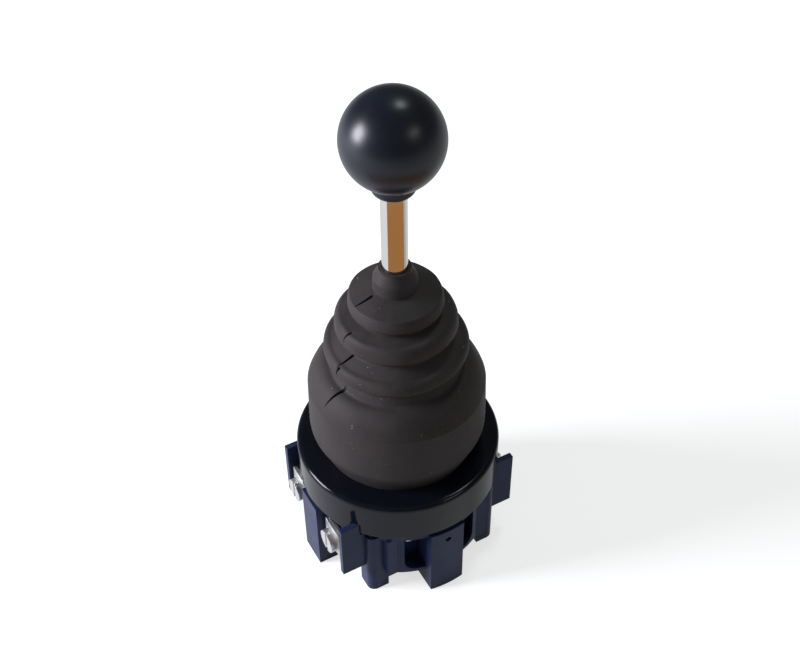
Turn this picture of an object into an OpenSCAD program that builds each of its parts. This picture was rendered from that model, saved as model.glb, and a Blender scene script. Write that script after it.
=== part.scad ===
/* [Bezel ring] */
// Outer radius of the glossy ring that clamps the boot
ring_r = 25.5; // [24.6:0.1:28]
// Height of the ring
ring_h = 11.5; // [11:0.1:14]
// Thickness of the lip that holds the boot down
ring_lip_t = 2.0; // [1.5:0.1:3]
// Radius of the rounded top edge
ring_edge_r = 1.2; // [0.6:0.1:1.8]
// Radius of the lower edge of the ring
ring_foot_r = 0.4; // [0.2:0.1:0.6]
// Thickness of the sealing gasket under the ring
gasket_t = 0.8; // [0.5:0.1:1.5]

// Width of the top face of the ring, from its edge to the boot
ring_face = 6.4; // [5.8:0.1:7]

/* [Boot] */
// Wall thickness of the rubber
boot_wall = 1.3; // [1.0:0.1:1.6]
// How far the bead in the ring stands out from the skirt
bead_w = 2.3; // [1.8:0.1:2.6]
// Height of the bead
bead_h = 2.4; // [1.8:0.1:2.8]
// Radius of the lowest fold
fold4_r = 21.6; // [20.6:0.1:22.4]
// Radius of the third fold
fold3_r = 17.2; // [16.6:0.1:18.4]
// Radius of the second fold
fold2_r = 14.4; // [13.8:0.1:15.2]
// Radius of the top fold
fold1_r = 11.1; // [10.6:0.1:12]
// Height of the skirt from the ring to the lowest fold
skirt_h = 19.8; // [17:0.1:22]
// Greatest radius of the bulging skirt
belly_r = 21.8; // [21:0.1:22.6]
// Height of that bulge above the ring
belly_h = 6.4; // [5:0.1:8]
// Height of the rim of the lowest fold
fold4_h = 6.3; // [5.6:0.1:8]
// Height of the rim of the third fold
fold3_h = 3.5; // [2.8:0.1:4.4]
// Height of the rim of the second fold
fold2_h = 4.6; // [3.4:0.1:5.2]
// Height of the rim of the top fold
fold1_h = 4.0; // [3:0.1:4.6]
// Radius of the crease between the lowest and the third fold
crease34_r = 15.0; // [14.4:0.1:15.6]
// Radius of the crease between the third and the second fold
crease23_r = 12.3; // [11.8:0.1:12.8]
// Radius of the crease between the second and the top fold
crease12_r = 9.5; // [9.0:0.1:9.9]
// Width of the rounded shoulder of the lowest fold
shoulder4_w = 5.6; // [4.6:0.1:5.8]
// Width of the rounded shoulder of the two folds in the middle
shoulder_w = 1.8; // [1.2:0.1:2.2]
// Width of the rounded shoulder of the top fold
shoulder1_w = 0.7; // [0.5:0.1:1.4]
// Rise of the sloping top of the lowest fold
slope4_h = 2.6; // [1.8:0.1:3.4]
// Rise of the sloping top of the other folds
slope_h = 1.9; // [1.2:0.1:2.6]
// Undercut below each rim
undercut_h = 1.7; // [1.0:0.1:2.2]
// Chamfer along the lower edge of each fold
lip_w = 0.8; // [0.3:0.1:1]
// Radius of the collar at its foot
collar_foot_r = 5.3; // [4.9:0.1:6]
// Radius of the thin lip at the top of the collar
collar_top_r = 3.8; // [3.6:0.1:4.4]
// Height of the collar
collar_h = 5.7; // [4:0.1:8]

/* [Lever and knob] */
// Radius of the chromed rod
rod_r = 3.0; // [2.8:0.1:3.2]
// Greatest tilt to each side, in degrees
tilt_max = 12; // [8:0.5:12]
// Height of the pivot above the base
pivot_rise = 3.3; // [3:0.1:3.8]
// Distance from the pivot down to the ball that moves the sliders
tip_arm = 14.0; // [13.6:0.1:14]
// Radius of the ball at the lower end
tip_r = 3.5; // [3.2:0.1:3.6]
// Radius of the ball knob
knob_r = 11.4; // [10:0.1:13]
// Height of the middle of the knob above the ring
knob_rise = 89.9; // [82:0.1:100]
// Radius of the short neck where it meets the knob
knob_neck_r = 5.4; // [5:0.1:5.8]
// How far the neck stands below the ball
knob_neck_h = 1.6; // [1.2:0.1:2.4]
// Radius of the brass insert in the knob
insert_r = 3.4; // [3.1:0.1:3.6]
// Length of the brass insert
insert_h = 9.0; // [7:0.1:11]
// Radius of the thread at the top of the rod
stud_r = 2.3; // [2:0.1:2.4]
// Radius of the moulded hub on the rod
hub_r = 6.0; // [5.4:0.1:6.4]
// Height of the hub
hub_h = 7.0; // [6:0.1:8]

/* [Gimbal] */
// Room between the gimbal ring and the pivot housing
gimbal_room = 1.4; // [1.2:0.1:1.8]
// Wall of the gimbal ring
gimbal_t = 3.4; // [3:0.1:3.8]
// Height of the gimbal ring
gimbal_h = 5.0; // [4:0.1:6]
// Radius of the pivot pins
pin_r = 1.25; // [1:0.05:1.5]
// Outer radius of the pivot housing
crown_r = 16.6; // [16.2:0.1:16.8]
// Wall of the pivot housing
crown_t = 3.6; // [3.2:0.1:3.8]
// Height that the pivot housing stands above the base
crown_h = 7.5; // [7.2:0.1:8]
// Depth that the pivot housing goes into the base
crown_depth = 4.0; // [3:0.1:4.2]
// Thickness of the steel gate plate
gate_t = 1.5; // [1:0.1:1.6]

/* [Base] */
// Height of the base
base_h = 22.3; // [22.1:0.1:24]
// How far the deck lies inside the edge of the ring
deck_inset = 1.5; // [1.2:0.1:1.8]
// Thickness of the deck
deck_t = 2.0; // [1.6:0.1:2.2]
// Thickness of the walls
wall = 1.6; // [1.4:0.1:1.8]
// How far the centre blocks stand out beyond the ring
block_proud = 0.3; // [0:0.1:0.8]
// Width of the centre blocks between the terminals
x_block_w = 8.0; // [7.6:0.1:8.4]
// Width of the centre blocks on the other two sides
y_block_w = 9.3; // [8.8:0.1:9.6]
// Room between the lower bridges and the bottom cover
cover_room = 0.65; // [0.4:0.05:1.2]
// How far the corner columns stay inside the edge of the ring
column_inset = 0.3; // [0.1:0.1:0.8]
// Thickness of a corner column
column_w = 5.2; // [5:0.1:5.4]
// Radius of the outer corner of a column
column_corner_r = 2.0; // [1:0.1:2.4]
// Distance between the inner faces of two fins
fin_gap = 29.0; // [28.6:0.1:30]
// Thickness of a fin
fin_t = 1.5; // [1.2:0.1:1.8]
// How far the outer edge of a fin stays inside the edge of the ring
fin_inset = 0.8; // [0.4:0.1:1.2]
// Height of a fin below the top of the base
fin_h = 13.3; // [12:0.1:14]
// Height that a fin rises above the lower face of the ring
fin_rise = 3.1; // [2:0.1:4]
// Thickness of the skirt plates
skirt_t = 1.3; // [1:0.1:1.6]
// How far the notched skirt lies inside the edge of the deck
skirt_inset = 0.6; // [0.3:0.1:0.9]
// How far the plain skirt lies inside the notched one
skirt_step = 3.1; // [2.7:0.1:3.5]
// Width of the wire opening behind the skirt
bay_w = 6.2; // [5.9:0.05:6.4]
// Width of the notch in the skirt
notch_w = 5.3; // [5.2:0.05:5.6]
// Radius of the lower corner of the notch
notch_corner_r = 2.9; // [2:0.1:3.2]
// Thickness of the bottom cover
cover_t = 1.8; // [1.4:0.1:1.9]

/* [Contacts] */
// Thickness of the slider plates
slider_t = 1.3; // [1:0.1:1.6]
// Half the length of a slider plate
slider_l = 8.0; // [7.4:0.1:8.2]
// Half the width of a slider plate
slider_w = 8.4; // [8:0.1:8.8]
// Height of a contact bridge
bridge_h = 3.0; // [2.6:0.1:3]
// Thickness of the bridges and terminal strips
strip_t = 0.8; // [0.6:0.05:0.85]
// Height of a contact rivet above its strip
rivet_t = 0.8; // [0.5:0.05:0.9]
// Radius of a contact rivet
rivet_r = 1.2; // [0.9:0.1:1.25]
// Distance of the side terminals from the middle plane
x_term_y = 9.3; // [9.2:0.05:9.35]
// Distance of the end terminals from the middle plane
y_term_x = 7.35; // [7.3:0.05:7.4]
// Depth of the seats of the side terminals in the base
x_seat_depth = 3.5; // [3.2:0.1:4]
// Side of the square washer on the side terminals
x_washer_w = 8.2; // [7:0.1:8.4]
// Side of the square washer on the end terminals
y_washer_w = 4.0; // [3.6:0.1:4.1]
// Thickness of the square washers
washer_t = 0.8; // [0.6:0.1:1]
// Radius of the side terminal screws
x_screw_r = 1.75; // [1.5:0.05:2]
// Radius of the end terminal screws
y_screw_r = 1.1; // [0.9:0.05:1.25]
// Radius of the slider stems
stem_r = 1.1; // [0.9:0.05:1.15]
// Radius of the spring wire
wire_r = 0.2; // [0.15:0.05:0.25]

/* [Hidden] */
$fn = 96;
tiny = 0.01;
// clearances: parts that lie beside each other, a running fit and a press fit
gap = 0.3;
run = 0.05;
press = 0.02;

// sizes across, from the edge of the ring inwards
boot_foot_r = ring_r - ring_face;
bead_r = boot_foot_r + bead_w;
deck_r = ring_r - deck_inset;
block_reach = ring_r + block_proud;
column_reach = (ring_r - column_inset - column_corner_r) / sqrt(2) + column_corner_r;
fin_reach = ring_r - fin_inset;
skirt_r = deck_r - skirt_inset;
step_y = skirt_r - skirt_step;
x_seat = block_reach - x_seat_depth;

// sizes across, from the pivot housing inwards
crown_in_r = crown_r - crown_t;
gimbal_r = crown_in_r - gimbal_room;
gimbal_in_r = gimbal_r - gimbal_t;

// heights of the stack, from the feet of the base upwards
ring_z = base_h + gasket_t;
ring_top = ring_z + ring_h;
crown_z = base_h - crown_depth;
crown_top = base_h + crown_h;
gate_z = crown_z - gate_t;
web_t = 0.75;
bead_gap = 0.1;
pivot_z = base_h + pivot_rise;
fin_z = base_h - fin_h;
tip_z = pivot_z - tip_arm;
knob_z = ring_top + knob_rise;

// sliders: one above the other, with the ball between them
level_gap = 0.1;
tip_gap = 0.2;
travel = tip_arm * tilt_max * PI / 180;
x_level = tip_z + level_gap / 2;
y_level = tip_z - level_gap / 2;
x_axis_z = x_level + bridge_h / 2;
y_axis_z = y_level - bridge_h / 2;
floor_z = y_level - bridge_h - cover_room;
wall_z = floor_z - cover_t;
slot_half = tip_r + tip_gap;
carrier_t = 1.3;
carrier_w = 6;
bay_floor_t = 1.1;
bridge_end = 1.5;
bridge_x = slider_l + carrier_t;
touch_gap = 0.05;
back_gap = 0.5;
guide_hold = 0.9;
guide_end = 0.3;
contact_face = bridge_x + strip_t + rivet_t + travel + touch_gap;
cavity = contact_face + rivet_t + strip_t + back_gap;
seat_wall = 0.95;
core = max(cavity + wall, crown_r + seat_wall);
stem_end = cavity + guide_hold + travel;
stem_bore_end = stem_end + travel + guide_end;
spring_r = stem_r + wire_r + 0.2;

// corner columns and the screws that run up through them into the ring
column_in = column_reach - column_w;
screw_x = column_reach - column_w / 2 - 0.15;
screw_r = 1.0;
screw_head_r = 1.8;
screw_head_h = 1.5;
screw_seat = 2.5;
ring_bite = 5.8;
screw_tip = ring_z + ring_bite;
drill_past = 0.4;

// bottom cover, held by two screws in the hollow X blocks
fit_gap = 0.1;
cover_recess = 0.7;
hollow_t = 1.2;
cover_head_h = 1.6;
cover_bite = 3.2;
cover_screw_x = (core + block_reach - hollow_t) / 2;

// hooks of the ring that hang over the edge of the deck
hook_h = 2.3;
hook_w = 2.0;
hook_root = 6;

// blind hole near the top of the Y blocks
pip_r = 0.8;
pip_depth = 1.5;
pip_drop = 3.2;

// the tongue of a fin that stands in the notch of the ring
tongue = 5.4;
notch_x = fin_reach - tongue;

// terminals
x_tab_w = x_washer_w - 0.4;
y_tab_w = 5.0;
x_tab_z = x_level;
x_tab_h = x_washer_w;
x_screw_z = x_tab_z + x_tab_h / 2;
x_head_r = 3.1;
x_head_h = 2.0;
x_slot = 0.9;
x_bite = 4.2;
y_screw_z = base_h - deck_t - y_washer_w / 2 - fit_gap;
y_tab_top = base_h - deck_t - fit_gap;
y_tab_z = gate_z - web_t - strip_t - fit_gap;
y_head_r = 1.85;
y_head_h = 1.0;
y_slot = 0.6;
y_bite = 1.6;
y_washer_t = 0.5;
inner_tab_w = 3.4;

// ---------- helpers ----------

// copies at the four corners
module corners() {
    for (sx = [-1, 1], sy = [-1, 1])
        scale_sign(sx, sy) children();
}

module scale_sign(sx, sy) {
    mirror([sx < 0 ? 1 : 0, 0, 0])
        mirror([0, sy < 0 ? 1 : 0, 0])
            children();
}

// copies at both ends of the X axis
module both_x() {
    children();
    mirror([1, 0, 0]) children();
}

module both_y() {
    children();
    mirror([0, 1, 0]) children();
}

// box from its lowest to its highest corner
module block(a, b) {
    translate(a) cube(b - a);
}

// rod along X or Y from a to b
module rod_x(r, a, b) {
    translate([a, 0, 0]) rotate([0, 90, 0]) cylinder(r = r, h = b - a);
}

module rod_y(r, a, b) {
    translate([0, a, 0]) rotate([-90, 0, 0]) cylinder(r = r, h = b - a);
}

module tube(ro, ri, z0, z1) {
    translate([0, 0, z0]) difference() {
        cylinder(r = ro, h = z1 - z0);
        translate([0, 0, -1]) cylinder(r = ri, h = z1 - z0 + 2);
    }
}

// footprint of one corner column, round on its outer corner
module column_plan() {
    w = column_w;
    r = column_corner_r;
    translate([column_in, column_in]) {
        square([w, w - r]);
        square([w - r, w]);
        translate([w - r, w - r]) circle(r = r);
    }
}

// the space inside the base, a square less its four columns
module cavity_plan(grow = 0) {
    h = cavity + grow;
    difference() {
        square([2 * h, 2 * h], center = true);
        for (sx = [-1, 1], sy = [-1, 1])
            scale_sign(sx, sy)
                translate([column_in, column_in]) square([h, h]);
    }
}

// screw along +Z with its head at the bottom: slotted cheese head
module screw(r, head_r, head_h, length, slot = 0.7) {
    difference() {
        union() {
            translate([0, 0, -head_h]) cylinder(r = head_r, h = head_h);
            cylinder(r = r, h = length);
        }
        translate([-head_r - 1, -slot / 2, -head_h - 1])
            cube([2 * head_r + 2, slot, 1 + head_h / 2]);
    }
}

// helical spring along +Z from 0 to h, its wire swept ring by ring
module spring(r, wire, h, turns) {
    sides = 6;
    steps = 14 * turns;
    lift = h - 2 * wire;
    pts = [for (i = [0:steps], j = [0:sides - 1])
        let (a = 360 * turns * i / steps, b = 360 * j / sides, q = r + wire * cos(b))
            [q * cos(a), q * sin(a), wire + lift * i / steps + wire * sin(b)]];
    side_faces = [for (i = [0:steps - 1], j = [0:sides - 1])
        let (k = (j + 1) % sides, a = i * sides, b = a + sides)
            [a + j, b + j, b + k, a + k]];
    first = [for (j = [0:sides - 1]) j];
    last = [for (j = [sides - 1:-1:0]) steps * sides + j];
    polyhedron(points = pts, faces = concat(side_faces, [first, last]), convexity = 10);
}

// ---------- base ----------

module fin() {
    y0 = fin_gap / 2;
    block([column_reach - 1.5, y0, fin_z], [fin_reach, y0 + fin_t, base_h]);
    block([notch_x + gap, y0, base_h - 1], [fin_reach, y0 + fin_t, ring_z + fin_rise]);
}

module x_block() {
    w = x_block_w / 2;
    block([cavity, -w, 0], [block_reach, w, base_h]);
}

module y_block() {
    w = y_block_w / 2;
    intersection() {
        cylinder(r = block_reach, h = base_h);
        block([-w, cavity, 0], [w, block_reach + 1, base_h]);
    }
}

// solid behind each side terminal, drilled for its screw
module x_boss() {
    w = x_tab_w / 2;
    block([core - tiny, x_term_y - w, x_tab_z + strip_t + 0.1],
          [x_seat, x_term_y + w, x_tab_z + x_tab_h - 0.3]);
}

// skirt on the Y sides: a plain part by the column, a round notched part by the block
module y_skirt() {
    x0 = y_block_w / 2;
    x1 = x0 + bay_w;
    x2 = column_in + 1;
    z1 = base_h - deck_t;
    block([x1, core - 1, wall_z], [x2, step_y, z1]);
    difference() {
        intersection() {
            tube(skirt_r, skirt_r - skirt_t, wall_z, z1);
            block([x0 - 1, core, wall_z], [x1 + 0.6, skirt_r, z1]);
        }
        translate([x0 - 2, skirt_r + 1, wall_z + bay_floor_t])
            rotate([90, 0, 0])
                linear_extrude(height = skirt_r + 1 - core)
                    notch_plan(z1 - wall_z);
    }
    // floor behind the notch, from the core to the skirt
    intersection() {
        cylinder(r = skirt_r, h = base_h);
        block([x0 - 1, core - 1, wall_z], [x1 + 0.6, skirt_r, wall_z + bay_floor_t]);
    }
}

module notch_plan(h) {
    r = notch_corner_r;
    w = notch_w + 2;
    translate([0, r]) square([w, h]);
    square([w - r, h]);
    translate([w - r, r]) circle(r = r);
}

module base_outer() {
    translate([0, 0, wall_z])
        linear_extrude(height = base_h - wall_z)
            square([2 * core, 2 * core], center = true);
    translate([0, 0, base_h - deck_t]) cylinder(r = deck_r, h = deck_t);
    both_x() x_block();
    both_y() y_block();
    corners() {
        linear_extrude(height = base_h - deck_t / 2) column_plan();
        fin();
        x_boss();
        y_skirt();
    }
}

module base_inner() {
    xw = x_block_w / 2 - hollow_t;
    yw = y_block_w / 2 - hollow_t;
    // chamber of the sliders
    translate([0, 0, wall_z - 1])
        linear_extrude(height = gate_z - web_t - wall_z + 1) cavity_plan();
    // seat of the bottom cover
    translate([0, 0, wall_z - 1])
        linear_extrude(height = cover_t + 1) cavity_plan(cover_recess);
    // opening below the gate plate, and the seat of gate plate and pivot housing
    cylinder(r = cavity - 0.6, h = base_h);
    translate([0, 0, gate_z]) cylinder(r = crown_r + 0.15, h = base_h);
    // hollow centre blocks, open below
    both_x() block([cavity - 1, -xw, -1], [block_reach - hollow_t, xw, floor_z]);
    both_y() block([-yw, cavity + cover_recess, -1],
                   [yw, block_reach - 2 * hollow_t, floor_z - 0.6]);
    // guides of the slider stems
    both_x() translate([0, 0, x_axis_z]) rod_x(stem_r + run, cavity - 1, stem_bore_end);
    both_y() translate([0, 0, y_axis_z]) rod_y(stem_r + run, cavity - 1, stem_bore_end);
    // holes of the cover screws
    both_x() translate([cover_screw_x, 0, floor_z - 1])
        cylinder(r = screw_r + press, h = 1 + cover_bite + drill_past);
    // blind hole near the top of the Y blocks
    both_y() translate([0, 0, base_h - pip_drop])
        rod_y(pip_r, block_reach - pip_depth, block_reach + 1);
    corners() {
        // ring screws
        translate([screw_x, screw_x, -1]) cylinder(r = screw_head_r + 0.15, h = screw_seat + 1);
        translate([screw_x, screw_x, 0]) cylinder(r = screw_r + 0.1, h = base_h + 1);
        // side terminals: slot for the strip, hole for the screw
        block([cavity - 1, x_term_y - inner_tab_w / 2 - fit_gap, x_tab_z - fit_gap],
              [x_seat + 1, x_term_y + inner_tab_w / 2 + fit_gap, x_tab_z + strip_t + fit_gap]);
        translate([0, x_term_y, x_screw_z])
            rod_x(x_screw_r + press, x_seat - x_bite - drill_past, x_seat + 1);
        // end terminals
        block([y_term_x - inner_tab_w / 2 - fit_gap, cavity - 1, y_tab_z - fit_gap],
              [y_term_x + inner_tab_w / 2 + fit_gap, core + 1, y_tab_z + strip_t + fit_gap]);
        translate([y_term_x, 0, y_screw_z]) rod_y(y_screw_r + press, core - y_bite - fit_gap, core + 1);
    }
}

module base_housing() {
    color("#1b1e27") difference() {
        base_outer();
        base_inner();
    }
}

module bottom_cover() {
    half = cavity + cover_recess - fit_gap;
    ear_w = x_block_w / 2 - hollow_t - fit_gap;
    color("#23252c") difference() {
        union() {
            translate([0, 0, wall_z]) linear_extrude(height = cover_t) difference() {
                square([2 * half, 2 * half], center = true);
                for (sx = [-1, 1], sy = [-1, 1])
                    scale_sign(sx, sy)
                        translate([column_in - fit_gap, column_in - fit_gap])
                            square([half, half]);
            }
            both_x() block([cavity, -ear_w, wall_z],
                           [block_reach - hollow_t - fit_gap, ear_w, floor_z]);
        }
        both_x() translate([cover_screw_x, 0, 0]) cylinder(r = screw_r + 0.1, h = base_h);
    }
}

module cover_screws() {
    color("#9a9ca0") both_x()
        translate([cover_screw_x, 0, wall_z])
            screw(screw_r, screw_head_r, cover_head_h, cover_t + cover_bite);
}

// ---------- pivot housing, gate, ring ----------

module pivot_housing() {
    color("#20242e") difference() {
        tube(crown_r, crown_in_r, crown_z, crown_top);
        translate([0, 0, pivot_z]) rod_x(pin_r + press, -crown_r - 1, crown_r + 1);
    }
}

module gate_plate() {
    // room for the tilted rod where it passes the lower face of the plate
    depth = pivot_z - gate_z;
    half = depth * tan(tilt_max) / cos(tilt_max) + rod_r / cos(tilt_max) + 0.25;
    color("#a8aaad") translate([0, 0, gate_z]) linear_extrude(height = gate_t) difference() {
        circle(r = crown_r);
        square([2 * half, 2 * (half - 1)], center = true);
        square([2 * (half - 1), 2 * half], center = true);
        for (sx = [-1, 1], sy = [-1, 1])
            translate([sx * (half - 1), sy * (half - 1)]) circle(r = 1);
    }
}

module ring_gasket() {
    color("#101114") difference() {
        tube(deck_r + 0.2, crown_r + gap, base_h, ring_z);
        corners() translate([screw_x, screw_x, 0]) cylinder(r = screw_r + 0.3, h = ring_z + 1);
    }
}

// cross-section of the ring: rounded top edge, lip, groove for the bead, bore
module ring_profile() {
    bore = crown_r + gap;
    groove = bead_r + 0.2;
    lip = boot_foot_r + gap;
    ledge = crown_top + bead_gap;
    e = ring_edge_r;
    f = ring_foot_r;
    difference() {
        union() {
            translate([bore, ring_z + f]) square([ring_r - bore, ring_h - e - f]);
            translate([bore, ring_z]) square([ring_r - bore - e, ring_h]);
            translate([ring_r - e, ring_top - e]) circle(r = e);
            polygon([
                [ring_r - e - tiny, ring_z], [ring_r - f, ring_z], [ring_r - 0.3 * f, ring_z + 0.3 * f],
                [ring_r, ring_z + f], [ring_r, ring_z + f + tiny], [ring_r - e - tiny, ring_z + f + tiny]
            ]);
        }
        translate([bore - 1, ledge]) square([groove - bore + 1, ring_top - ring_lip_t - ledge]);
        translate([bore - 1, ledge]) square([lip - bore + 1, ring_h]);
    }
}

module bezel_ring() {
    y0 = fin_gap / 2 - gap;
    color("#171a24") difference() {
        union() {
            rotate_extrude() ring_profile();
            // four hooks that hang over the edge of the deck, inside the fins
            intersection() {
                tube(ring_r, deck_r + gap, ring_z - hook_h, ring_z + 1);
                corners() block([deck_r - hook_root, y0 - gap - hook_w, ring_z - hook_h],
                                [ring_r, y0 - gap, ring_z + 1]);
            }
        }
        // notches for the upper ends of the fins
        corners() block([notch_x, y0, ring_z - 1],
                        [ring_r + 1, y0 + fin_t + 2 * gap, ring_z + fin_rise + gap]);
        // blind holes for the ring screws
        corners() translate([screw_x, screw_x, ring_z - 1])
            cylinder(r = screw_r + press, h = 1 + ring_bite + drill_past);
    }
}

module ring_screws() {
    color("#9a9ca0") corners()
        translate([screw_x, screw_x, screw_seat])
            screw(screw_r, screw_head_r, screw_head_h, screw_tip - screw_seat);
}

// ---------- boot ----------

// heights of the folds above the ring
fold4_z = ring_top + skirt_h;
crease34_z = fold4_z + fold4_h + slope4_h;
fold3_z = crease34_z + undercut_h;
crease23_z = fold3_z + fold3_h + slope_h;
fold2_z = crease23_z + undercut_h;
crease12_z = fold2_z + fold2_h + slope_h / 2;
fold1_z = crease12_z + undercut_h / 2;
collar_z = fold1_z + fold1_h + slope_h;
collar_top = collar_z + collar_h;

// one fold seen from the side: small lower edge and a wide rounded shoulder
function fold(r, z, h, w) = concat(
    [[r - lip_w, z], [r, z + lip_w]],
    [for (a = [0:15:90]) [
        r - w * (1 - cos(a)),
        z + 0.3 * h + 0.7 * h * sin(a)
    ]]
);

// the lowest fold: a dome that rises from the crisp upper edge of the skirt
function dome(r, z, h, w, start = 35) = [
    for (a = [start:11:90]) [
        r - w * (cos(start) - cos(a)) / cos(start),
        z + h * (sin(a) - sin(start)) / (1 - sin(start))
    ]
];

// radius and height of the outer skin, from the ring up
function skin() = concat(
    [[boot_foot_r, ring_top], [belly_r, ring_top + belly_h]],
    dome(fold4_r, fold4_z, fold4_h, shoulder4_w),
    [[crease34_r, crease34_z]],
    fold(fold3_r, fold3_z, fold3_h, shoulder_w),
    [[crease23_r, crease23_z]],
    fold(fold2_r, fold2_z, fold2_h, shoulder_w),
    [[crease12_r, crease12_z]],
    fold(fold1_r, fold1_z, fold1_h, shoulder1_w),
    [[collar_foot_r, collar_z], [collar_foot_r - 0.2, collar_z + 0.5 * collar_h]],
    [[collar_top_r, collar_z + 0.9 * collar_h], [collar_top_r, collar_top]]
);

// the same line inside the rubber, from the top down
function lining() = let (t = boot_wall, bore = rod_r + run) [
    [bore, collar_top],
    [bore, collar_z + 0.1],
    [fold1_r - t - shoulder1_w, fold1_z + fold1_h - t],
    [fold1_r - t, fold1_z + 0.3 * fold1_h],
    [crease12_r - t, crease12_z],
    [fold2_r - t - shoulder_w, fold2_z + fold2_h - t],
    [fold2_r - t, fold2_z + 0.3 * fold2_h],
    [crease23_r - t, crease23_z],
    [fold3_r - t - shoulder_w, fold3_z + fold3_h - t],
    [fold3_r - t, fold3_z + 0.3 * fold3_h],
    [crease34_r - t, crease34_z],
    [fold4_r - t - shoulder4_w, fold4_z + fold4_h - t],
    [fold4_r - t - 0.3 * shoulder4_w, fold4_z + 0.8 * fold4_h - t],
    [fold4_r - t, fold4_z],
    [belly_r - t, ring_top + belly_h],
    [boot_foot_r - t, ring_top]
];

module boot() {
    bead_in = crown_in_r + 1.2;
    bead_z = crown_top + bead_gap;
    bead_top = bead_z + bead_h;
    color("#2b2725") rotate_extrude() polygon(concat(
        skin(),
        lining(),
        [[boot_foot_r - boot_wall, bead_top + 0.6], [bead_in, bead_top], [bead_in, bead_z]],
        [[bead_r, bead_z], [bead_r, bead_top], [boot_foot_r, bead_top + 0.1]]
    ));
}

// ---------- gimbal ----------

module gimbal_pins() {
    color("#b9bbbe") both_x()
        translate([0, 0, pivot_z]) rod_x(pin_r, gimbal_in_r + 0.8, crown_r - 0.1);
}

module gimbal_ring() {
    color("#8d8f92") difference() {
        tube(gimbal_r, gimbal_in_r, pivot_z - gimbal_h / 2, pivot_z + gimbal_h / 2);
        translate([0, 0, pivot_z]) {
            rod_x(pin_r + run, -gimbal_r - 1, gimbal_r + 1);
            rod_y(pin_r + press, -gimbal_r - 1, gimbal_r + 1);
        }
    }
}

module lever_pin() {
    color("#b9bbbe") translate([0, 0, pivot_z]) rod_y(pin_r, -gimbal_r + 0.2, gimbal_r - 0.2);
}

// ---------- lever ----------

neck_wall = 0.7;
neck_root = 1.4;
insert_z = knob_z - knob_r - knob_neck_h + 0.4;
stud_top = insert_z + insert_h - 0.8;
spigot_r = 1.8;
spigot_z = tip_z - 2;
shoulder_z = tip_z + 0.72 * tip_r;

module lever_rod() {
    color("#c9c6c2") difference() {
        union() {
            translate([0, 0, shoulder_z]) cylinder(r = rod_r, h = insert_z - shoulder_z);
            translate([0, 0, spigot_z]) cylinder(r = spigot_r, h = shoulder_z - spigot_z + 1);
            translate([0, 0, insert_z - 1]) cylinder(r = stud_r, h = stud_top - insert_z + 1);
        }
        translate([0, 0, pivot_z]) rod_y(pin_r + run, -rod_r - 1, rod_r + 1);
    }
}

module lever_hub() {
    color("#d8d5cc") difference() {
        tube(hub_r, rod_r + press, pivot_z - hub_h / 2, pivot_z + hub_h / 2);
        translate([0, 0, pivot_z]) rod_y(pin_r + run, -hub_r - 1, hub_r + 1);
    }
}

module actuator_ball() {
    color("#e0ddd2") difference() {
        translate([0, 0, tip_z]) sphere(r = tip_r);
        translate([0, 0, shoulder_z]) cylinder(r = tip_r, h = tip_r);
        translate([0, 0, spigot_z - press]) cylinder(r = spigot_r + press, h = 2 * tip_r);
    }
}

module knob_insert() {
    color("#b08d4a") tube(insert_r, stud_r + press, insert_z, insert_z + insert_h);
}

module ball_knob() {
    neck_z = knob_z - knob_r - knob_neck_h;
    color("#14161d") difference() {
        union() {
            translate([0, 0, knob_z]) sphere(r = knob_r);
            translate([0, 0, neck_z])
                cylinder(r1 = insert_r + neck_wall, r2 = knob_neck_r, h = knob_neck_h + neck_root);
        }
        translate([0, 0, neck_z - 1]) cylinder(r = rod_r + 0.1, h = insert_z - neck_z + 1 + tiny);
        translate([0, 0, insert_z]) cylinder(r = insert_r + press, h = insert_h + press);
    }
}

// ---------- sliders ----------

// a slider on its own level, moving along X: plate, two carriers and two stems
module slider_body(up) {
    z_plate = up ? 0 : -slider_t;
    z_carrier = up ? 0 : -bridge_h;
    axis = up ? bridge_h / 2 : -bridge_h / 2;
    slot_l = slot_half + travel + 0.1;
    difference() {
        translate([-slider_l, -slider_w, z_plate]) cube([2 * slider_l, 2 * slider_w, slider_t]);
        translate([-slot_half, -slot_l, z_plate - 1]) cube([2 * slot_half, 2 * slot_l, slider_t + 2]);
    }
    both_x() {
        translate([slider_l - 0.6, -carrier_w / 2, z_carrier])
            cube([carrier_t + 0.6, carrier_w, bridge_h]);
        translate([0, 0, axis]) rod_x(stem_r, slider_l, stem_end);
    }
}

// the two contact bridges of a slider, each with two rivets
module bridge_pair(up, reach) {
    z0 = up ? 0 : -bridge_h;
    axis = z0 + bridge_h / 2;
    both_x() difference() {
        union() {
            translate([bridge_x, -reach - bridge_end, z0])
                cube([strip_t, 2 * (reach + bridge_end), bridge_h]);
            both_y() translate([0, reach, axis])
                rod_x(rivet_r, bridge_x + strip_t / 2, bridge_x + strip_t + rivet_t);
        }
        translate([0, 0, axis]) rod_x(stem_r + press, bridge_x - 1, bridge_x + 2);
    }
}

module spring_pair(axis) {
    x0 = bridge_x + strip_t;
    both_x() translate([x0, 0, axis]) rotate([0, 90, 0])
        spring(spring_r, wire_r, cavity - x0, 4);
}

module x_slider() {
    color("#e6e2d6") translate([0, 0, x_level]) slider_body(true);
}

module x_bridges() {
    color("#c08a4e") translate([0, 0, x_level]) bridge_pair(true, x_term_y);
}

module x_springs() {
    color("#b4b6ba") spring_pair(x_axis_z);
}

module y_slider() {
    color("#e6e2d6") translate([0, 0, y_level]) rotate([0, 0, 90]) slider_body(false);
}

module y_bridges() {
    color("#c08a4e") translate([0, 0, y_level]) rotate([0, 0, 90]) bridge_pair(false, y_term_x);
}

module y_springs() {
    color("#b4b6ba") rotate([0, 0, 90]) spring_pair(y_axis_z);
}

// ---------- terminals ----------

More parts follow.
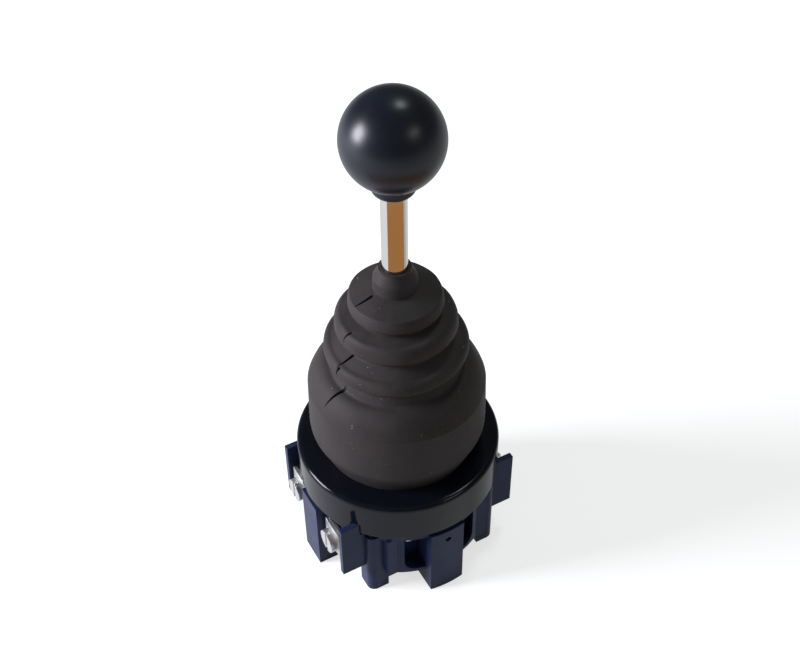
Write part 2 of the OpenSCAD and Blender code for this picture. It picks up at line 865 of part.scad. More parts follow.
module x_terminals() {
    w = inner_tab_w / 2;
    t = strip_t;
    color("#c9b37a") corners() difference() {
        union() {
            block([x_seat, x_term_y - x_tab_w / 2, x_tab_z],
                  [x_seat + t, x_term_y + x_tab_w / 2, x_tab_z + x_tab_h]);
            block([contact_face + rivet_t, x_term_y - w, x_tab_z],
                  [x_seat + t, x_term_y + w, x_tab_z + t]);
            block([contact_face + rivet_t, x_term_y - w, x_tab_z],
                  [contact_face + rivet_t + t, x_term_y + w, x_level + bridge_h]);
            translate([0, x_term_y, x_axis_z])
                rod_x(rivet_r, contact_face, contact_face + rivet_t + t / 2);
        }
        translate([0, x_term_y, x_screw_z]) rod_x(x_screw_r + press, x_seat - 1, x_seat + t + 1);
    }
}

module x_washers() {
    w = x_washer_w / 2;
    x0 = x_seat + strip_t;
    color("#c4c6c8") corners() difference() {
        block([x0, x_term_y - w, x_screw_z - w], [x0 + washer_t, x_term_y + w, x_screw_z + w]);
        translate([0, x_term_y, x_screw_z]) rod_x(x_screw_r + fit_gap, x0 - 1, x0 + washer_t + 1);
    }
}

module x_terminal_screws() {
    color("#d0d2d4") corners()
        translate([x_seat + strip_t + washer_t, x_term_y, x_screw_z]) rotate([0, -90, 0])
            screw(x_screw_r, x_head_r, x_head_h, washer_t + strip_t + x_bite, x_slot);
}

module y_terminals() {
    w = inner_tab_w / 2;
    t = strip_t;
    color("#c9b37a") corners() difference() {
        union() {
            block([y_term_x - y_tab_w / 2, core, y_tab_z],
                  [y_term_x + y_tab_w / 2, core + t, y_tab_top]);
            block([y_term_x - w, contact_face + rivet_t, y_tab_z],
                  [y_term_x + w, core + t, y_tab_z + t]);
            block([y_term_x - w, contact_face + rivet_t, y_level - bridge_h],
                  [y_term_x + w, contact_face + rivet_t + t, y_tab_z + t]);
            translate([y_term_x, 0, y_axis_z])
                rod_y(rivet_r, contact_face, contact_face + rivet_t + t / 2);
        }
        translate([y_term_x, 0, y_screw_z]) rod_y(y_screw_r + press, core - 1, core + t + 1);
    }
}

module y_washers() {
    w = y_washer_w / 2;
    y0 = core + strip_t;
    color("#c4c6c8") corners() difference() {
        block([y_term_x - w, y0, y_screw_z - w], [y_term_x + w, y0 + y_washer_t, y_screw_z + w]);
        translate([y_term_x, 0, y_screw_z]) rod_y(y_screw_r + fit_gap, y0 - 1, y0 + y_washer_t + 1);
    }
}

module y_terminal_screws() {
    color("#d0d2d4") corners()
        translate([y_term_x, core + strip_t + y_washer_t, y_screw_z]) rotate([90, 0, 0])
            screw(y_screw_r, y_head_r, y_head_h, y_washer_t + strip_t + y_bite, y_slot);
}

base_housing();
bottom_cover();
cover_screws();
pivot_housing();
gate_plate();
ring_gasket();
bezel_ring();
ring_screws();
boot();
gimbal_pins();
gimbal_ring();
lever_pin();
lever_rod();
lever_hub();
actuator_ball();
knob_insert();
ball_knob();
x_slider();
x_bridges();
x_springs();
y_slider();
y_bridges();
y_springs();
x_terminals();
x_washers();
x_terminal_screws();
y_terminals();
y_washers();
y_terminal_screws();
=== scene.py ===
# %% [markdown]
# # A panel joystick, dressed on its CAD frame
# The imported CAD model is a fixed frame: every solid of it already stands where it belongs. The ring, the
# base, the terminals and the fasteners keep their CAD shape and only get their finishes here. The rubber boot
# and the knob are built again as finer meshes. All lengths in this file are metres, so small sizes are
# written in millimetres times `MM`.

# %% Load the frame
import math

import bmesh
import bpy
from mathutils import Matrix, Vector, noise


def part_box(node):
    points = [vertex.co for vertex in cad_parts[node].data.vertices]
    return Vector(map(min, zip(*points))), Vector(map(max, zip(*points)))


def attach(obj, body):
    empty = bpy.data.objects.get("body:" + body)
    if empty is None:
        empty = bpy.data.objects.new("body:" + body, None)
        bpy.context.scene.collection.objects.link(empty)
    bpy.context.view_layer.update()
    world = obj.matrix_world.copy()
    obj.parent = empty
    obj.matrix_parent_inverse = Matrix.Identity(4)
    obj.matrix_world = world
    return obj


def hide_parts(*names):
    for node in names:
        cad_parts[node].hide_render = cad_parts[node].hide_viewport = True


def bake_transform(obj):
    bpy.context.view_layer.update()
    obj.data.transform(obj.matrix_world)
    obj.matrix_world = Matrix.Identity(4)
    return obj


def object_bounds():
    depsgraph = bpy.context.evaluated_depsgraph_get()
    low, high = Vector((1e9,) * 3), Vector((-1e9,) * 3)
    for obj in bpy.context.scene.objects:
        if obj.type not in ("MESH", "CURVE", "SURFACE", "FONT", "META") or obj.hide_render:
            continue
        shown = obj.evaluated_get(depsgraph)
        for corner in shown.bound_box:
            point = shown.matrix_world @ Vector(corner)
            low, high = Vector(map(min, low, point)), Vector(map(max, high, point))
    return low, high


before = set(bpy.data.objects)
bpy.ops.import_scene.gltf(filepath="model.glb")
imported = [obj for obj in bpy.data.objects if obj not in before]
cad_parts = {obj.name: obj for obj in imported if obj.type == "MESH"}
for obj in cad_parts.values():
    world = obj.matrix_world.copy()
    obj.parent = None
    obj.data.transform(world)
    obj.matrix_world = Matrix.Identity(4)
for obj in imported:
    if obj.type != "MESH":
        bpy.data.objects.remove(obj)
cad_low, cad_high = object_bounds()
MM = 0.001

# %% [markdown]
# ## Reading sizes from the frame
# Every place is worked out from the boxes of the CAD nodes. If the ring or the rod changes in the CAD
# source, the pieces that are built here follow.

# %% Main levels and radii
ring_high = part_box("bezel_ring")[1]
rod_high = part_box("lever_rod")[1]
boot_low, boot_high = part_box("boot")
knob_low, knob_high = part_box("ball_knob")
ring_top = ring_high.z
ring_r = ring_high.x
rod_r = rod_high.x
knob_r = (knob_high.x - knob_low.x) / 2
knob_z = knob_high.z - knob_r
print("ring top %.1f mm, knob centre %.1f mm" % (ring_top / MM, knob_z / MM))

# %% [markdown]
# ## Camera
# The view looks down on the joystick by 49 degrees, 28 degrees to one side of its front, with the lens of
# a phone held at arm's length. The camera is placed on a circle round the centre of the ring's top, looks
# past that centre by a few degrees, and is turned by a hair round its own axis.

# %% Place the camera
VIEW_DISTANCE = 12.87 * ring_r
VIEW_SIDE = math.radians(28.1)
VIEW_RISE = math.radians(49.15)
VIEW_PITCH = 0.072
VIEW_YAW = 0.003
VIEW_ROLL = math.radians(-0.83)
FOCAL_IN_WIDTHS = 1.62125


def camera_axes():
    forward = Vector((
        math.sin(VIEW_SIDE) * math.cos(VIEW_RISE),
        math.cos(VIEW_SIDE) * math.cos(VIEW_RISE),
        -math.sin(VIEW_RISE),
    ))
    right = forward.cross(Vector((0, 0, 1))).normalized()
    up = right.cross(forward)
    aim = (forward + up * math.tan(VIEW_PITCH) + right * math.tan(VIEW_YAW)).normalized()
    right = aim.cross(Vector((0, 0, 1))).normalized()
    up = right.cross(aim)
    c, s = math.cos(VIEW_ROLL), math.sin(VIEW_ROLL)
    return forward, aim, c * right + s * up, c * up - s * right


look, aim, cam_right, cam_up = camera_axes()
cam_data = bpy.data.cameras.new("camera")
cam_data.lens = FOCAL_IN_WIDTHS * cam_data.sensor_width
cam_data.clip_start, cam_data.clip_end = 0.01, 10
camera = bpy.data.objects.new("camera", cam_data)
bpy.context.scene.collection.objects.link(camera)
turn = Matrix((cam_right, cam_up, -aim)).transposed().to_4x4()
camera.matrix_world = Matrix.Translation(Vector((0, 0, ring_top)) - look * VIEW_DISTANCE) @ turn
bpy.context.scene.camera = camera
bpy.context.scene.view_settings.view_transform = "Standard"
print("camera at", [round(v / MM) for v in camera.matrix_world.translation], "mm")

# %% [markdown]
# ## Colours and nodes
# Colours are written as the hex values that a picture editor shows. Blender's shaders want linear light,
# so one function turns them. A second function adds a shader node with its settings and its links, which
# keeps each material short enough to read as a recipe.

# %% Helpers for materials


def linear(hex_colour):
    """An sRGB hex colour as linear light, by the curve of the sRGB standard."""
    channels = [int(hex_colour[i:i + 2], 16) / 255 for i in (1, 3, 5)]
    return tuple(c / 12.92 if c <= 0.04045 else ((c + 0.055) / 1.055) ** 2.4 for c in channels) + (1,)


def add_node(tree, kind, settings=None, links=None):
    """A new shader node. Settings go to inputs by name or number, or else to attributes."""
    made = tree.nodes.new("ShaderNode" + kind)
    for key, value in (settings or {}).items():
        if isinstance(key, int) or key in made.inputs:
            made.inputs[key].default_value = value
        else:
            setattr(made, key, value)
    for key, socket in (links or {}).items():
        tree.links.new(socket, made.inputs[key])
    return made


def start_material(name, settings):
    """A new material with a Principled shader and its mesh coordinates, which are metres here."""
    made = bpy.data.materials.new(name)
    made.use_nodes = True
    tree = made.node_tree
    tree.nodes.clear()
    shader = add_node(tree, "BsdfPrincipled", settings)
    add_node(tree, "OutputMaterial", {}, {"Surface": shader.outputs[0]})
    place = add_node(tree, "TexCoord").outputs["Object"]
    return made, tree, shader, place


def per_metre(size_mm):
    """The scale of a noise pattern whose blotches are this many millimetres apart."""
    return 1 / (size_mm * MM)


def blotches(tree, place, size_mm, detail, roughness=0.5):
    return add_node(tree, "TexNoise", {"Scale": per_metre(size_mm), "Detail": detail, "Roughness": roughness},
                    {"Vector": place}).outputs["Fac"]


def mottle(tree, pattern, hex_colour, gains, spots):
    """The colour times the first gain where the pattern is low and the second where it is high."""
    tint = add_node(tree, "ValToRGB", {}, {0: pattern})
    for stop, gain, spot in zip(tint.color_ramp.elements, gains, spots):
        stop.position = spot
        stop.color = tuple(min(1, c * gain) for c in linear(hex_colour)[:3]) + (1,)
    return tint.outputs[0]


def set_roughness(tree, shader, pattern, settings):
    """Roughness follows a pattern. Settings are the map's inputs: 1 and 2 its reach, 3 and 4 the result."""
    tree.links.new(add_node(tree, "MapRange", settings, {0: pattern}).outputs[0], shader.inputs["Roughness"])


def lift_surface(tree, shader, pattern, strength, depth_mm, edge=None):
    """A bump that follows a pattern, on top of rounded edges where their node is given."""
    links = {"Height": pattern}
    if edge is not None:
        links["Normal"] = edge.outputs[0]
    bump = add_node(tree, "Bump", {"Strength": strength, "Distance": depth_mm * MM}, links)
    tree.links.new(bump.outputs[0], shader.inputs["Normal"])


# %% [markdown]
# ## Studio
# A plain white floor and one large soft lamp from the left, as from a window. A dim ceiling lamp and a
# thin strip lamp at the front right only add small highlights. The lamps and the world together light an
# upright grey card at about its own value. The floor glows for the camera, which makes the pale
# background, and more weakly for reflections. The world is white for the camera and dim for all else.

# %% Floor and world
FLOOR_HALF = 4.0
FLOOR_GLOW = 0.66
GLOW_IN_GLOSS = 0.42
WORLD_LEVEL = 0.12
bpy.ops.mesh.primitive_plane_add(size=2 * FLOOR_HALF, location=(0, 0, 0))
floor = bpy.context.object
floor.name = "floor"
floor_mat, tree, shader, place = start_material(
    "floor_matt_white_paper", {"Base Color": linear("#D2D2D3"), "Roughness": 0.9, "Specular IOR Level": 0.1}
)
rays = add_node(tree, "LightPath")
shown = add_node(tree, "Math", {"operation": "MULTIPLY_ADD", 1: GLOW_IN_GLOSS},
                 {0: rays.outputs["Is Glossy Ray"], 2: rays.outputs["Is Camera Ray"]})
glow = add_node(tree, "Math", {"operation": "MULTIPLY", 1: FLOOR_GLOW}, {0: shown.outputs[0]})
tree.links.new(glow.outputs[0], shader.inputs["Emission Strength"])
shader.inputs["Emission Color"].default_value = (1, 1, 1, 1)
floor.data.materials.append(floor_mat)

world = bpy.data.worlds.new("white_room")
bpy.context.scene.world = world
world.use_nodes = True
tree = world.node_tree
tree.nodes.clear()
rays = add_node(tree, "LightPath")
shown = add_node(tree, "Math", {"operation": "MAXIMUM"},
                 {0: rays.outputs["Is Camera Ray"], 1: rays.outputs["Is Transmission Ray"]})
level = add_node(tree, "Mix", {"data_type": "FLOAT", 2: WORLD_LEVEL, 3: 1.0}, {0: shown.outputs[0]})
sky = add_node(tree, "Background", {"Color": (1, 1, 1, 1)}, {"Strength": level.outputs[0]})
add_node(tree, "OutputWorld", {}, {"Surface": sky.outputs[0]})
print("floor and world made")

# %% [markdown]
# Each lamp is a rectangle that faces the middle of the joystick. A small lamp makes a sharp highlight and
# a large one a soft highlight, whatever its power.

# %% Lamps
MIDDLE = Vector((0, 0, (cad_low.z + cad_high.z) / 2))
LAMPS = [  # name, direction from the middle, distance, width and height, power in watts, colour
    ("window_left", (-0.871, 0.36, 0.34), 0.9, (0.32, 0.38), 13.0, "#F4F4FF"),
    ("ceiling", (0.363, 0.219, 0.906), 1.1, (0.16, 0.16), 1.8, "#ECFFF6"),
    ("strip_right", (0.39, -0.69, 0.61), 1.0, (0.3, 0.012), 0.8, "#FFFDF8"),
]


def softbox(name, direction, distance, size, power, colour):
    data = bpy.data.lights.new(name, "AREA")
    data.shape = "RECTANGLE"
    data.size, data.size_y = size
    data.energy = power
    data.color = linear(colour)[:3]
    lamp = bpy.data.objects.new(name, data)
    bpy.context.scene.collection.objects.link(lamp)
    way = Vector(direction).normalized()
    facing = way.to_track_quat("Z", "Y").to_matrix().to_4x4()
    lamp.matrix_world = Matrix.Translation(MIDDLE + way * distance) @ facing


for lamp_settings in LAMPS:
    softbox(*lamp_settings)
print("%d lamps made" % len(LAMPS))

# %% [markdown]
# ## Glowing card
# A chromed rod is a mirror: it has no colour of its own and shows what lies in front of it. A brown card
# that glows by its own emission, though it is no lamp, stands in front of the boot, level with the top of
# the ring, so that the rod carries a painted brown reflection between two white ones. Only reflections see
# the card, and the ring sees it edge-on.

# %% Card in front
CARD_NEAR, CARD_FAR = 46 * MM, 98 * MM
CARD_Z = ring_top + 0.5 * MM
CARD_START, CARD_END = math.radians(-58), math.radians(86)
CARD_STEPS = 24
toward = math.atan2(-look.y, -look.x)
rim = []
for reach in (CARD_NEAR, CARD_FAR):
    for i in range(CARD_STEPS + 1):
        a = toward + CARD_START + (CARD_END - CARD_START) * i / CARD_STEPS
        rim.append((reach * math.cos(a), reach * math.sin(a), CARD_Z))
row = CARD_STEPS + 1
card_mesh = bpy.data.meshes.new("glowing_reflection_card")
card_mesh.from_pydata(rim, [], [(i, i + 1, row + i + 1, row + i) for i in range(CARD_STEPS)])
card = bpy.data.objects.new("glowing_reflection_card", card_mesh)
bpy.context.scene.collection.objects.link(card)
# Black, with a brown glow of its own: it is no lamp, and it paints a brown reflection into the rod and other
# shiny parts.
card_mat, tree, shader, place = start_material(
    "card_glowing_brown", {"Base Color": linear("#000000"), "Roughness": 1.0, "Specular IOR Level": 0.0,
                   "Emission Color": linear("#C98F55"), "Emission Strength": 0.75})
card_mesh.materials.append(card_mat)
card.visible_camera = False
card.visible_shadow = False
card.visible_diffuse = False
print("card made")

# %% [markdown]
# ## Moulded ABS
# The ring and the base are injection-moulded ABS, a hard plastic that copies its polished mould and so
# comes out glossy. IOR is 1.54. Mouldings are never perfectly even: the gloss drifts slowly over the part
# where the plastic flowed, and handling leaves faint scuffs. A slow noise moves the roughness and a finer
# one lifts the surface by a few microns. Sharp CAD edges catch no light, so the shader rounds them.

# %% ABS recipe


def moulded_abs(name, hex_colour, roughness, scuff, specular, edge_mm):
    made, tree, shader, place = start_material(
        name, {"Base Color": linear(hex_colour), "Roughness": roughness, "IOR": 1.54,
               "Specular IOR Level": specular})
    tint = mottle(tree, blotches(tree, place, 9, 3.0), hex_colour, (0.86, 1.16), (0.3, 0.7))
    tree.links.new(tint, shader.inputs["Base Color"])
    set_roughness(tree, shader, blotches(tree, place, 3.5, 2.0),
                  {1: 0.35, 2: 0.75, 3: roughness, 4: roughness + scuff})
    edge = add_node(tree, "Bevel", {"samples": 6, "Radius": edge_mm * MM})
    lift_surface(tree, shader, blotches(tree, place, 0.8, 2.0), 0.03, 0.02, edge)
    return made


ring_abs = moulded_abs("abs_glossy_blue_black", "#0E1119", 0.12, 0.05, 0.18, 0.25)
# The base gets a lighter, bluer colour than the ring: part the plastic's own blue-black and part a painted
# bluish reflection on its faces.
base_abs_painted_reflection = moulded_abs("abs_semigloss_blue_black_painted_reflection", "#2A3250", 0.28, 0.06, 0.1, 0.22)
print("ABS materials made")

# %% [markdown]
# ## Moulded rubber
# The boot is compression-moulded rubber filled with carbon black. It is matt, brownish black, and looks
# dusty because it blooms and holds lint. A broad noise mottles the colour, a grain of a third of a
# millimetre roughens it, and a fine noise leaves loose groups of pale dust specks. Inside the splits in
# the folds the colour gets painted shade: the mesh carries their depth as an attribute and the shader
# darkens the colour nearly to black by it.

# %% Rubber recipe


def moulded_rubber(name, hex_colour, dusty):
    made, tree, shader, place = start_material(
        name, {"Base Color": linear(hex_colour), "Roughness": 0.58, "IOR": 1.52,
               "Specular IOR Level": 0.14})
    broad = blotches(tree, place, 7, 5.0, 0.6)
    tint = mottle(tree, broad, hex_colour, (0.82, 1.2), (0.3, 0.72))
    speck = add_node(tree, "MapRange", {1: 0.73, 2: 0.77}, {0: blotches(tree, place, 0.5, 1.0)})
    group = add_node(tree, "MapRange", {1: 0.55, 2: 0.66, 4: dusty}, {0: blotches(tree, place, 5, 2.0)})
    dust = add_node(tree, "Math", {"operation": "MULTIPLY"}, {0: speck.outputs[0], 1: group.outputs[0]})
    dirty = add_node(tree, "Mix", {"data_type": "RGBA", 7: linear("#A9A8A6")}, {0: dust.outputs[0], 6: tint})
    # Painted shade: inside the splits the colour goes nearly black, by the depth stored on the mesh.
    split = add_node(tree, "Attribute", {"attribute_name": "split"})
    split_shaded = add_node(tree, "Mix", {"data_type": "RGBA", 7: linear("#050505")},
                     {0: split.outputs["Fac"], 6: dirty.outputs[2]})
    tree.links.new(split_shaded.outputs[2], shader.inputs["Base Color"])
    set_roughness(tree, shader, broad, {1: 0.3, 2: 0.7, 3: 0.5, 4: 0.68})
    lift_surface(tree, shader, blotches(tree, place, 0.34, 3.0), 0.35, 0.03)
    return made


boot_rubber = moulded_rubber("rubber_moulded_black", "#3B3737", 0.7)
seal_rubber = moulded_rubber("rubber_seal_black", "#1C1D21", 0.2)
print("rubber materials made")

# %% [markdown]
# ## Phenolic knob
# The ball is pressed from phenolic resin in a polished mould and tumbled, which leaves a satin, blue-black
# skin with a soft highlight. IOR is 1.6. Fine swirls from tumbling spread the highlight unevenly.

# %% Phenolic recipe
knob_phenolic, tree, shader, place = start_material(
    "phenolic_tumbled_black", {"Base Color": linear("#10131E"), "Roughness": 0.3, "IOR": 1.6,
                               "Specular IOR Level": 0.3})
haze = blotches(tree, place, 6, 4.0)
set_roughness(tree, shader, haze, {1: 0.3, 2: 0.7, 3: 0.31, 4: 0.36})
tint = add_node(tree, "ValToRGB", {}, {0: haze})
tint.color_ramp.elements[0].color = linear("#0D101A")
tint.color_ramp.elements[1].color = linear("#151A29")
tree.links.new(tint.outputs[0], shader.inputs["Base Color"])
lift_surface(tree, shader, blotches(tree, place, 1.1, 3.0), 0.1, 0.02)
print("phenolic made")

# %% [markdown]
# ## Metals
# A metal is set by its colour, its roughness and the marks of its making, and keeps the default IOR. The
# rod is ground steel with chrome plate: nearly a mirror, with grinding rings a tenth of a millimetre apart.
# Those are too fine to show, so they are drawn three times as coarse. Screws and washers are zinc plated
# and duller. Terminals are stamped brass with a thin tin plate, and the inner steel is ground.

# %% Metal recipe


def plated_metal(name, hex_colour, roughness, grain_mm, stretch, depth_mm):
    made, tree, shader, place = start_material(
        name, {"Base Color": linear(hex_colour), "Metallic": 1.0, "Roughness": roughness})
    lay = add_node(tree, "Mapping", {"Scale": stretch}, {"Vector": place})
    set_roughness(tree, shader, blotches(tree, place, 4, 3.0),
                  {1: 0.3, 2: 0.7, 3: roughness * 0.7, 4: roughness * 1.5})
    edge = add_node(tree, "Bevel", {"samples": 4, "Radius": 0.08 * MM})
    lift_surface(tree, shader, blotches(tree, lay.outputs[0], grain_mm, 4.0), 0.25, depth_mm, edge)
    return made


chrome = plated_metal("chrome_on_ground_steel", "#DAD8D5", 0.05, 0.3, (0.05, 0.05, 1), 0.002)
zinc = plated_metal("zinc_on_steel", "#E4E4E2", 0.4, 0.5, (1, 1, 1), 0.01)
tinned_brass = plated_metal("tin_on_brass", "#DCCFA8", 0.26, 0.35, (1, 1, 0.2), 0.008)
brass = plated_metal("brass_turned", "#C9A65A", 0.25, 0.3, (0.1, 0.1, 1), 0.006)
steel = plated_metal("steel_ground", "#A9ABAE", 0.3, 0.3, (0.1, 1, 1), 0.006)
print("metals made")

# %% [markdown]
# ## Acetal
# The sliders, the hub and the ball inside are natural acetal, a waxy white plastic that lets a little light
# in. They are hidden, but a good part is finished inside too.

# %% Acetal recipe
acetal, tree, shader, place = start_material(
    "acetal_natural", {"Base Color": linear("#E6E2D6"), "Roughness": 0.4, "IOR": 1.48,
                       "Subsurface Weight": 0.1, "Subsurface Scale": 1 * MM})
set_roughness(tree, shader, blotches(tree, place, 3, 3.0), {3: 0.34, 4: 0.48})
print("acetal made")

# %% [markdown]
# ## Finishes
# Every CAD node gets one finish. The boot and the knob are on the list too, so that the plain solids have
# the right look wherever the finer meshes aren't used.

# %% Finishes of the CAD nodes
FINISH = {
    "base_housing": base_abs_painted_reflection, "bottom_cover": base_abs_painted_reflection, "pivot_housing": base_abs_painted_reflection, "bezel_ring": ring_abs,
    "ring_gasket": seal_rubber, "gate_plate": steel, "gimbal_ring": steel, "gimbal_pins": steel,
    "lever_pin": steel, "x_springs": steel, "y_springs": steel, "lever_rod": chrome,
    "cover_screws": zinc, "ring_screws": zinc, "x_washers": zinc, "x_terminal_screws": zinc,
    "y_washers": zinc, "y_terminal_screws": zinc, "x_terminals": tinned_brass, "y_terminals": tinned_brass,
    "knob_insert": brass, "x_bridges": brass, "y_bridges": brass, "x_slider": acetal, "y_slider": acetal,
    "lever_hub": acetal, "actuator_ball": acetal, "boot": boot_rubber, "ball_knob": knob_phenolic,
}
for name, finish in FINISH.items():
    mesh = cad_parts[name].data
    mesh.materials.clear()
    mesh.materials.append(finish)
print("%d nodes finished" % len(FINISH))

# %% [markdown]
# ## A lathe
# The boot and the knob are turned shapes. One function spins an outline of (radius, height) points round
# a vertical axis. The outline is closed, and the angles may be uneven, so that a detail at one place gets
# more points without making the whole mesh heavy.

# %% Lathe and outline helpers
SAME_POINT = 1e-7
SHARP_ANGLE = math.radians(50)


def soften(outline, step, passes):
    """The outline with points a step apart and its corners rounded by averaging neighbours."""
    fine = []
    for (r0, z0), (r1, z1) in zip(outline, outline[1:]):
        count = max(1, round(math.hypot(r1 - r0, z1 - z0) / step))
        fine += [(r0 + (r1 - r0) * k / count, z0 + (z1 - z0) * k / count) for k in range(count)]
    fine.append(outline[-1])
    for _ in range(passes):
        fine = [fine[0]] + [
            tuple((a + 2 * b + c) / 4 for a, b, c in zip(fine[i - 1], fine[i], fine[i + 1]))
            for i in range(1, len(fine) - 1)
        ] + [fine[-1]]
    return fine


def lathe(name, outline, angles, shape=None):
    """Spins a closed outline. shape(r, z, angle) may return a changed (r, z)."""
    verts = []
    for a in angles:
        for r, z in outline:
            rr, zz = shape(r, z, a) if shape else (r, z)
            verts.append((rr * math.cos(a), rr * math.sin(a), zz))
    rows, cols = len(angles), len(outline)
    faces = [(i * cols + j, ((i + 1) % rows) * cols + j,
              ((i + 1) % rows) * cols + (j + 1) % cols, i * cols + (j + 1) % cols)
             for i in range(rows) for j in range(cols)]
    mesh = bpy.data.meshes.new(name)
    mesh.from_pydata(verts, [], faces)
    made = bpy.data.objects.new(name, mesh)
    bpy.context.scene.collection.objects.link(made)
    bm = bmesh.new()
    bm.from_mesh(mesh)
    bmesh.ops.remove_doubles(bm, verts=bm.verts, dist=SAME_POINT)
    bmesh.ops.recalc_face_normals(bm, faces=bm.faces)
    bm.to_mesh(mesh)
    bm.free()
    mesh.shade_smooth()
    mesh.set_sharp_from_angle(angle=SHARP_ANGLE)
    return made


# %% [markdown]
# ## Boot outline
# A bellows is a stack of folds. Each fold has a small lower lip, an upright rim, a rounded shoulder, a
# slope that runs in to the crease, and an undercut below the next fold. The lowest one is a dome on a
# bulging skirt, and they meet in a crisp edge. The outline repeats the construction of the CAD source
# with finer steps, and softening rounds every other edge as moulded rubber is.

# %% Fold sizes
BOOT_WALL = 1.3 * MM
FOOT_R = 19.1 * MM
SKIRT_H = 19.8 * MM
BELLY_R = 21.8 * MM
BELLY_H = 6.4 * MM
DOME_START = 35  # degrees: the dome is the part of an ellipse above this angle
RIM_UPRIGHT = 0.3  # share of a rim below its rounded shoulder
ROD_GAP = 0.05 * MM
ARC_STEPS = 15
UNDERCUT = 1.7 * MM
SLOPE = 1.9 * MM
COLLAR_H = 5.7 * MM
FOLDS = [  # radius, rim height, shoulder width, slope height, undercut height, crease radius above
    (21.6 * MM, 6.3 * MM, 5.6 * MM, 2.6 * MM, 0, 15.0 * MM),
    (17.2 * MM, 3.5 * MM, 1.8 * MM, SLOPE, UNDERCUT, 12.3 * MM),
    (14.4 * MM, 4.6 * MM, 1.8 * MM, SLOPE / 2, UNDERCUT, 9.5 * MM),
    (11.1 * MM, 4.0 * MM, 0.7 * MM, SLOPE, UNDERCUT / 2, 5.3 * MM),
]
LIP = 0.6 * MM
COLLAR = [  # radius and share of the collar's height
    (5.3 * MM, 0.0), (5.1 * MM, 0.5), (3.8 * MM, 0.9), (3.8 * MM, 1.0),
]


def arc(first_degree):
    return [math.radians(first_degree + (90 - first_degree) * i / ARC_STEPS) for i in range(ARC_STEPS + 1)]


def boot_skin():
    """Outer line of the folds from the top of the skirt to the foot of the collar, and each fold's levels."""
    z = ring_top + SKIRT_H
    line, levels = [], []
    for r, rim, shoulder, slope, undercut, crease in FOLDS:
        z += undercut
        if undercut:
            line += [(r - LIP, z), (r, z + LIP)]
            line += [(r - shoulder * (1 - math.cos(t)),
                      z + rim * (RIM_UPRIGHT + (1 - RIM_UPRIGHT) * math.sin(t))) for t in arc(0)]
        else:
            c, s = math.cos(math.radians(DOME_START)), math.sin(math.radians(DOME_START))
            line += [(r - shoulder * (c - math.cos(t)) / c, z + rim * (math.sin(t) - s) / (1 - s))
                     for t in arc(DOME_START)]
        levels.append((z, z + rim, z + rim + slope))
        z += rim + slope
        line.append((crease, z))
    return line, levels


skin_line, fold_levels = boot_skin()
collar_foot = fold_levels[-1][2]
collar_line = [(r, collar_foot + share * COLLAR_H) for r, share in COLLAR]
print("boot: folds end at %.1f mm, CAD boot top %.1f mm" % (collar_line[-1][1] / MM, boot_high.z / MM))

# %% [markdown]
# The lining is the inside of the rubber, a wall's thickness in from the folds. It needs fewer points,
# because it is never seen, but it closes the mesh into a real solid.

# %% Lining inside the rubber


def boot_lining():
    """Inner line of the folds, from the rod down to the top of the skirt."""
    line = [(rod_r + ROD_GAP, collar_line[-1][1]), (rod_r + ROD_GAP, collar_foot + 0.1 * MM)]
    for i in reversed(range(len(FOLDS))):
        r, rim, shoulder, _, undercut, _ = FOLDS[i]
        low, top = fold_levels[i][:2]
        line.append((r - BOOT_WALL - shoulder, top - BOOT_WALL))
        if undercut:
            crease_below = FOLDS[i - 1][-1]
            line.append((r - BOOT_WALL, low + RIM_UPRIGHT * rim))
            line.append((crease_below - BOOT_WALL, low - undercut))
    r, rim, shoulder = FOLDS[0][:3]
    line.append((r - BOOT_WALL - 0.3 * shoulder, fold_levels[0][0] + 0.8 * rim - BOOT_WALL))
    line.append((r - BOOT_WALL, ring_top + SKIRT_H))
    return line


lining_line = boot_lining()
print("lining has %d points" % len(lining_line))

# %% [markdown]
# ## Splits and unevenness
# Folded rubber wears first at the parting line of its mould: thin radial splits start in the creases and
# run out over the slopes. Each split is a narrow groove, widest at the crease. The angles are closer
# together round the parting line, so that the groove is real mesh. The rest of the boot gets a slow wave
# of a tenth of a millimetre, because no used bellows is a perfect turned shape.

# %% Split shapes
SEAM = math.radians(-173)
SPLITS = [  # fold, angle at the crease, angle at the outer end, inner and outer radius, width at the crease
    (3, -176.2, -180.2, 6.3, 10.9, 0.85),
    (2, -171.6, -176.0, 12.6, 14.6, 0.75),
    (1, -169.0, -173.9, 12.6, 17.1, 0.8),
    (1, -171.0, -172.4, 16.4, 17.4, 0.9),
    (0, -168.4, -174.2, 16.2, 21.2, 0.95),
]
SPLIT_DEPTH = 0.55 * MM
SPLIT_LEAD = 0.15  # share of its length that a split starts before the inner radius
FINE_ANGLE = math.radians(9)  # how far on each side of the parting line the angles are close together
FINE_STEPS, COARSE_STEPS = 60, 191
WAVE, SAG = 0.22, 0.2  # mm, times a noise that rarely passes a half


def split_depth(r, z, a):
    """How deep the nearest split is at this point of the skin, from 0 to 1."""
    deepest = 0.0
    for fold, a_in, a_out, r_in, r_out, width in SPLITS:
        low, rim, top = fold_levels[fold]
        if not (low + 0.15 * (rim - low) < z < top + 0.2 * MM):
            continue
        t = (r / MM - r_in) / (r_out - r_in)
        if not -SPLIT_LEAD < t < 1:
            continue
        middle = math.radians(a_in + (a_out - a_in) * t)
        away = (a - middle + math.pi) % (2 * math.pi) - math.pi
        half = width / 2 * MM * (1 - max(0, t)) ** 0.7
        x = abs(away) * r / max(half, 1e-6)
        if x < 1:
            deepest = max(deepest, (1 - x) * min(1, (1 - t) * 2.5) * min(1, (t + SPLIT_LEAD) * 6))
    return deepest


def boot_angles():
    fine = [SEAM - FINE_ANGLE + 2 * FINE_ANGLE * i / FINE_STEPS for i in range(FINE_STEPS + 1)]
    rest = 2 * math.pi - 2 * FINE_ANGLE
    return fine + [SEAM + FINE_ANGLE + rest * i / COARSE_STEPS for i in range(1, COARSE_STEPS)]


